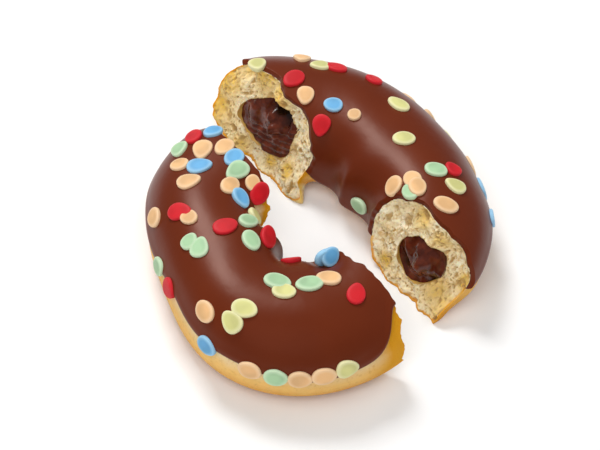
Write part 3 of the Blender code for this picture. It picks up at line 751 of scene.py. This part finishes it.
def make_icing(name, half, material):
    shares = spaced(ICING_ROWS, ICING_ROWS_CROWD)
    turns = spaced(ICING_TURNS, ICING_TURNS_CROWD)
    ends = []

    def place(turn, share):
        low, high = icing_span(half, turn)
        return low + (high - low) * share

    for share in shares:
        line = lambda turn: skin(half, turn, place(turn, share), -0.9 * ICING_THICKNESS)
        ends.append(ends_of(line, lambda x, z: tear(half, x, z)))
    points = []
    for step in turns:
        top = []
        under = []
        for share, (start, end) in zip(shares, ends):
            turn = start + (end - start) * step
            low, high = icing_span(half, turn)
            around = low + (high - low) * share
            height = icing_height(half, turn, around, low, high, start, end)
            top.append(skin(half, turn, around, height - ICING_THICKNESS))
            under.append(skin(half, turn, around, -ICING_THICKNESS - ICING_SUNK))
        points += top + under[::-1]
    loop = 2 * ICING_ROWS
    faces = grid_faces(ICING_TURNS, loop, False, True)
    for first in (0, (ICING_TURNS - 1) * loop):
        for row in range(ICING_ROWS - 1):
            cap = [first + row, first + row + 1, first + loop - 2 - row, first + loop - 1 - row]
            faces.append(cap if first else cap[::-1])
    return make_piece(name, points, faces, {}, material)


# Filling

def painted_dent_shade(half, x, z):
    """How far a place of the filling's broken end is sunk in its dents, 0 to 1: how much painted
    shade it gets there.
    """
    end, across, up = on_filling(half, x, z)
    depth = 0.0
    for at_across, at_up, far, wide in half["dents"][end]:
        depth += far * math.exp(-off_spot(across, up, at_across, at_up, wide))
    return smooth(*DENT_SHADE_FROM, depth)


def make_filling(name, half, material):
    face = lambda x, z: filling_end(half, x, z)
    shares = spaced(WALL_STEPS, FILLING_CROWDS)
    spokes = np.linspace(0.0, 1.0, CAP_STEPS + 1)[1:]
    lines = []
    for column in range(FILLING_COLUMNS):
        around = math.tau * column / FILLING_COLUMNS
        wall = lambda turn: tunnel(half, turn, around, FILLING_OVERLAP)
        start, end = ends_of(wall, face)
        lines.append([wall(start + (end - start) * share) for share in shares])
    middles = []
    for index in (0, -1):
        middle = sum((line[index] for line in lines), Vector()) / FILLING_COLUMNS
        middle.y = filling_end(half, middle.x, middle.z)
        middles.append(middle)
    points = []
    for line in lines:
        caps = []
        for rim, middle in ((line[0], middles[0]), (line[-1], middles[1])):
            off = rim.y - filling_end(half, rim.x, rim.z)
            cap = []
            for share in spokes[:-1]:
                flat = middle.lerp(rim, share)
                y = filling_end(half, flat.x, flat.z) + off * share
                cap.append(Vector((flat.x, y, flat.z)))
            caps.append(cap)
        points += caps[0] + line + caps[1][::-1]
    length = len(points) // FILLING_COLUMNS
    faces = grid_faces(FILLING_COLUMNS, length, True, False)
    first = len(points)
    points += middles
    for column in range(FILLING_COLUMNS):
        after = (column + 1) % FILLING_COLUMNS
        faces.append([first, after * length, column * length])
        faces.append([first + 1, (column + 1) * length - 1, (after + 1) * length - 1])
    # How much painted shade each point gets where the filling is sunk in its dents
    dent_shade = [painted_dent_shade(half, point.x, point.z) for point in points]
    return make_piece(name, points, faces, {"dent_shade": dent_shade}, material)


# Sprinkles

def sprinkle_frame(half, turn, around, twist, length, tilt):
    """Where a sprinkle lies on the icing, as a matrix."""
    turn = math.radians(turn)
    around = math.radians(around)
    twist = math.radians(twist)
    tilt = math.radians(tilt)
    step = SPRINKLE_STEP
    middle = skin(half, turn, around)
    along = skin(half, turn + step, around) - skin(half, turn - step, around)
    over = skin(half, turn, around + step) - skin(half, turn, around - step)
    out = over.cross(along).normalized()
    if out.dot(skin(half, turn, around, MM) - middle) < 0.0:
        out.negate()

    # In a hollow of the icing it bridges, touching with its ends
    bridge = 0.0
    for reach, angle in ((SPRINKLE_LENGTH, twist), (SPRINKLE_WIDTH, twist + math.pi / 2)):
        by_turn = length * reach * step * math.cos(angle) / along.length
        by_around = length * reach * step * math.sin(angle) / over.length
        ahead = skin(half, turn + by_turn, around + by_around)
        behind = skin(half, turn - by_turn, around - by_around)
        bridge = max(bridge, 0.5 * (ahead + behind - 2.0 * middle).dot(out))
    raised = bridge + abs(math.sin(tilt)) * TILT_RAISE

    along.normalize()
    side = out.cross(along).normalized()
    basis = Matrix((along, side, out)).transposed().to_4x4()
    turned = Matrix.Rotation(twist, 4, "Z")
    tilted = Matrix.Rotation(tilt, 4, "X")
    return Matrix.Translation(middle + out * raised) @ basis @ turned @ tilted


def sprinkle_places(half):
    """The shown sprinkles, and more by a seeded rule where none is listed."""
    places = list(half["sprinkles"])
    (low, high), (start, end), (least, most), wanted, seed = half["hidden"]
    draw = random.Random(seed)
    spots = [skin(half, math.radians(p[1]), math.radians(p[2])) for p in places]
    for _ in range(HIDDEN_DRAWS):
        turn = draw.uniform(start, end)
        around = draw.uniform(low, high)
        colour = draw.choice(HIDDEN_COLOURS)
        twist = draw.uniform(least, most)
        length = draw.uniform(*HIDDEN_LENGTHS)
        spot = skin(half, math.radians(turn), math.radians(around))
        if wanted and all((spot - other).length > SPRINKLE_SPACING for other in spots):
            spots.append(spot)
            places.append((colour, turn, around, twist, length, 0))
            wanted -= 1
    return places


def oval(matrix, length, taper, number):
    """Points of one sprinkle, and how near to its rim each lies."""
    points = []
    rims = []
    for share, height in SPRINKLE_PROFILE:
        for side in range(SPRINKLE_SIDES):
            angle = math.tau * side / SPRINKLE_SIDES
            wobble = noise.noise(Vector((math.cos(angle), math.sin(angle), 3.7 * number)))
            x = 0.5 * share * math.cos(angle) * (1.0 + SPRINKLE_WOBBLE * wobble)
            y = 0.5 * share * math.sin(angle) * (1.0 + SPRINKLE_WOBBLE * wobble)
            along = x * SPRINKLE_LENGTH * length
            across = y * SPRINKLE_WIDTH * math.sqrt(length) * (1.0 - taper * x)
            points.append(matrix @ Vector((along, across, height * MM)))
            rims.append(smooth(0.6, 0.88, share))
    for height in (SPRINKLE_PROFILE[0][1], SPRINKLE_PROFILE[-1][1]):
        points.append(matrix @ Vector((0.0, 0.0, height * MM)))
        rims.append(0.0)
    return points, rims


def oval_faces(first):
    """Faces of one sprinkle, whose points start at a number."""
    rows = len(SPRINKLE_PROFILE)
    faces = grid_faces(rows, SPRINKLE_SIDES, False, True)
    faces = [[first + corner for corner in face] for face in faces]
    bottom = first + rows * SPRINKLE_SIDES
    last = first + (rows - 1) * SPRINKLE_SIDES
    for side in range(SPRINKLE_SIDES):
        after = (side + 1) % SPRINKLE_SIDES
        faces.append([bottom, first + side, first + after])
        faces.append([bottom + 1, last + after, last + side])
    return faces


def make_sprinkles():
    """One piece for each colour, with that colour's sprinkles of both halves."""
    pieces = []
    gathered = {colour: ([], [], []) for colour in SPRINKLE_COLOURS}
    for half in HALVES.values():
        turned = Matrix.Rotation(math.radians(half["rotation"]), 4, "Z")
        placed = Matrix.Translation((*half["location"], 0.0)) @ turned
        draw = random.Random(round(half["seed"]))
        for number, where in enumerate(sprinkle_places(half)):
            colour, turn, around, twist, length, tilt = where
            matrix = placed @ sprinkle_frame(half, turn, around, twist, length, tilt)
            taper = draw.choice(SPRINKLE_TAPERS)
            points, faces, rims = gathered[colour]
            faces += oval_faces(len(points))
            new_points, new_rims = oval(matrix, length, taper, number + half["seed"])
            points += new_points
            rims += new_rims
    for colour, (points, faces, rims) in gathered.items():
        name = f"sprinkles_{colour}"
        pieces.append(make_piece(name, points, faces, {"rim": rims}, sprinkle_material(colour)))
    return pieces


# Materials

def new_material(name, **values):
    """A material with its tree and its shader, and plain values set on the shader."""
    material = bpy.data.materials.new(name)
    material.use_nodes = True
    tree = material.node_tree
    shader = tree.nodes["Principled BSDF"]
    for socket, value in values.items():
        shader.inputs[socket.replace("_", " ")].default_value = value
    return material, tree, shader


def add(tree, kind, settings=None, **inputs):
    """A node, with its settings, and its inputs linked or set: by name, or as i0, i1 and so on."""
    made = tree.nodes.new("ShaderNode" + kind)
    for setting, value in (settings or {}).items():
        setattr(made, setting, value)
    for socket, value in inputs.items():
        numbered = socket[0] == "i" and socket[1:].isdigit()
        target = made.inputs[int(socket[1:]) if numbered else socket]
        if isinstance(value, bpy.types.NodeSocket):
            tree.links.new(value, target)
        else:
            target.default_value = value
    return made


def noise_at(tree, size, detail=3.0, rough=0.5):
    """Noise from 0 to 1 whose features are of a size in metres."""
    where = add(tree, "TexCoord").outputs["Object"]
    settings = {"Scale": 1.0 / size, "Detail": detail, "Roughness": rough}
    return add(tree, "TexNoise", Vector=where, **settings).outputs["Fac"]


def ramp(tree, value, low, high):
    """0 below low, 1 above high."""
    made = add(tree, "MapRange", Value=value)
    made.inputs["From Min"].default_value = low
    made.inputs["From Max"].default_value = high
    return made.outputs["Result"]


def times(tree, first, second):
    """The product of two values."""
    return add(tree, "Math", {"operation": "MULTIPLY"}, i0=first, i1=second).outputs[0]


def mix(tree, share, first, second):
    """A colour between two, which are colours or sockets."""
    made = add(tree, "Mix", {"data_type": "RGBA"}, i0=share)
    for index, value in ((6, first), (7, second)):
        if isinstance(value, bpy.types.NodeSocket):
            tree.links.new(value, made.inputs[index])
        else:
            made.inputs[index].default_value = (*value, 1.0)
    return made.outputs[2]


def mask(tree, name):
    """A value that a mesh's points carry, from 0 to 1."""
    return add(tree, "Attribute", {"attribute_name": name}).outputs["Fac"]


def bump(tree, shader, height, depth):
    """Bump of a depth in metres."""
    made = add(tree, "Bump", Height=height, Distance=depth, Strength=1.0)
    tree.links.new(made.outputs["Normal"], shader.inputs["Normal"])


def dough_material():
    material, tree, shader = new_material(
        "dough",
        Roughness=0.8,
        Specular_IOR_Level=0.15,
        Subsurface_Weight=0.25,
        Subsurface_Radius=(1.0, 0.6, 0.3),
        Subsurface_Scale=1.2 * MM,
    )
    where = add(tree, "TexCoord").outputs["Object"]
    height = add(tree, "SeparateXYZ", Vector=where).outputs["Z"]
    patches = noise_at(tree, 7 * MM)
    freckles = noise_at(tree, 1.1 * MM, 4.0, 0.6)
    crumb = mix(tree, ramp(tree, patches, 0.4, 0.62), (0.89, 0.73, 0.44), (0.97, 0.88, 0.65))
    rich = times(tree, mask(tree, "rich"), patches)
    crumb = mix(tree, ramp(tree, rich, 0.08, 0.5), crumb, (0.79, 0.52, 0.11))
    crumb = mix(tree, ramp(tree, freckles, 0.5, 0.66), crumb, (0.72, 0.50, 0.22))
    # Painted shade in the open cells of the crumb
    crumb = mix(tree, ramp(tree, mask(tree, "pore_shade"), 0.25, 0.9), crumb, (0.50, 0.31, 0.11))
    crumb = mix(tree, ramp(tree, mask(tree, "stain"), 0.2, 1.0), crumb, (0.40, 0.20, 0.05))

    # The crust is browner low down, with an uneven edge
    lift = times(tree, patches, 4.5 * MM)
    level = add(tree, "Math", {"operation": "ADD"}, i0=height, i1=lift).outputs[0]
    browned = mix(tree, ramp(tree, level, 5 * MM, 10 * MM), (0.70, 0.30, 0.04), (0.88, 0.54, 0.17))
    browned = mix(tree, ramp(tree, level, 10.5 * MM, 15 * MM), browned, (0.87, 0.69, 0.40))
    browned = mix(tree, ramp(tree, freckles, 0.55, 0.8), browned, (0.68, 0.38, 0.11))
    browned = mix(tree, ramp(tree, mask(tree, "rich"), 0.05, 0.8), browned, (0.71, 0.32, 0.012))
    colour = mix(tree, ramp(tree, mask(tree, "crust"), 0.15, 0.85), crumb, browned)
    tree.links.new(colour, shader.inputs["Base Color"])
    bump(tree, shader, noise_at(tree, 0.5 * MM, 4.0, 0.65), 0.16 * MM)
    return material


def icing_material():
    material, tree, shader = new_material(
        "icing",
        Roughness=0.33,
        Specular_IOR_Level=0.28,
        Specular_Tint=(1.0, 0.76, 0.66, 1.0),
        IOR=1.45,
    )
    patches = noise_at(tree, 16 * MM, 2.0)
    colour = mix(tree, patches, (0.112, 0.0165, 0.0045), (0.150, 0.025, 0.007))
    tree.links.new(colour, shader.inputs["Base Color"])
    bump(tree, shader, noise_at(tree, 3.5 * MM, 2.0), 0.06 * MM)
    return material


def filling_material():
    material, tree, shader = new_material(
        "filling", Roughness=0.15, Specular_IOR_Level=0.45, IOR=1.46
    )
    patches = noise_at(tree, 3 * MM, 3.0)
    colour = mix(tree, ramp(tree, patches, 0.4, 0.7), (0.065, 0.011, 0.005), (0.155, 0.029, 0.011))
    # Painted shade: the further a dent sinks in, the darker the filling is painted
    colour = mix(tree, ramp(tree, mask(tree, "dent_shade"), 0.0, 0.95), colour, (0.010, 0.003, 0.002))
    tree.links.new(colour, shader.inputs["Base Color"])
    bump(tree, shader, noise_at(tree, 0.9 * MM, 3.0), 0.05 * MM)
    return material


def sprinkle_material(colour):
    middle, rim = SPRINKLE_COLOURS[colour]
    material, tree, shader = new_material(
        f"sprinkle_{colour}",
        Roughness=0.55,
        Specular_IOR_Level=0.35,
        Subsurface_Weight=0.1,
        Subsurface_Radius=(1.0, 0.8, 0.6),
        Subsurface_Scale=0.6 * MM,
    )
    speckle = noise_at(tree, 0.5 * MM, 3.0, 0.6)
    patches = noise_at(tree, 6 * MM, 1.0)
    darker = tuple(0.82 * part for part in middle)
    face = mix(tree, ramp(tree, patches, 0.4, 0.6), darker, middle)
    tinted = mix(tree, times(tree, mask(tree, "rim"), 0.8), face, rim)
    tree.links.new(tinted, shader.inputs["Base Color"])
    bump(tree, shader, speckle, 0.05 * MM)
    return material


# The part

dough_looks = dough_material()
icing_looks = icing_material()
filling_looks = filling_material()

for half_name, half_form in HALVES.items():
    dough = make_dough(f"{half_name}_dough", half_form, dough_looks)
    icing = make_icing(f"{half_name}_icing", half_form, icing_looks)
    filling = make_filling(f"{half_name}_filling", half_form, filling_looks)
    for made, kind in ((dough, "dough"), (icing, "icing"), (filling, "filling")):
        place_half(made, half_form)
        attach(made, "root")
        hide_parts(f"{kind}_{half_name}")

for made in make_sprinkles():
    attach(made, "root")
    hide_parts("icing_back", "icing_front")


# Floor, light and camera

def make_floor():
    bpy.ops.mesh.primitive_plane_add(size=FLOOR_SIZE, location=(0.0, 0.0, FLOOR_AT))
    floor = bpy.context.object
    floor.name = "floor"
    material, tree, shader = new_material("floor", Roughness=0.9, Specular_IOR_Level=0.0)
    shader.inputs["Base Color"].default_value = (0.93, 0.93, 0.93, 1.0)
    floor.data.materials.append(material)


def make_light(name, direction, distance, size, power, glossy):
    """A square soft light that looks at the part, with or without a reflection."""
    data = bpy.data.lights.new(name, "AREA")
    data.size = size
    data.energy = power
    light = bpy.data.objects.new(name, data)
    towards = Vector(direction).normalized()
    light.location = PART_MIDDLE + towards * distance
    light.rotation_mode = "QUATERNION"
    light.rotation_quaternion = towards.to_track_quat("Z", "Y")
    light.visible_glossy = glossy
    bpy.context.scene.collection.objects.link(light)


def make_camera():
    """The photo's viewpoint, turned towards the part without tilting the picture."""
    data = bpy.data.cameras.new("camera")
    data.sensor_width = SENSOR
    data.lens = LENS
    data.clip_start = 0.01
    camera = bpy.data.objects.new("camera", data)
    looked = (PHOTO_LOOKS_AT - CAMERA_AT).normalized()
    looks = (PART_MIDDLE - CAMERA_AT).normalized()
    photo = looked.to_track_quat("-Z", "Y")
    camera.location = CAMERA_AT
    camera.rotation_mode = "QUATERNION"
    camera.rotation_quaternion = looked.rotation_difference(looks) @ photo
    bpy.context.scene.collection.objects.link(camera)
    bpy.context.scene.camera = camera


def make_world():
    world = bpy.data.worlds.new("studio")
    world.use_nodes = True
    background = world.node_tree.nodes["Background"]
    background.inputs["Color"].default_value = (1.0, 1.0, 1.0, 1.0)
    background.inputs["Strength"].default_value = WORLD_LIGHT
    bpy.context.scene.world = world


make_floor()
make_world()
for light_name, light_values in LIGHTS.items():
    make_light(light_name, *light_values)
make_camera()
bpy.context.scene.view_settings.view_transform = "Standard"
bpy.context.scene.view_settings.look = "None"
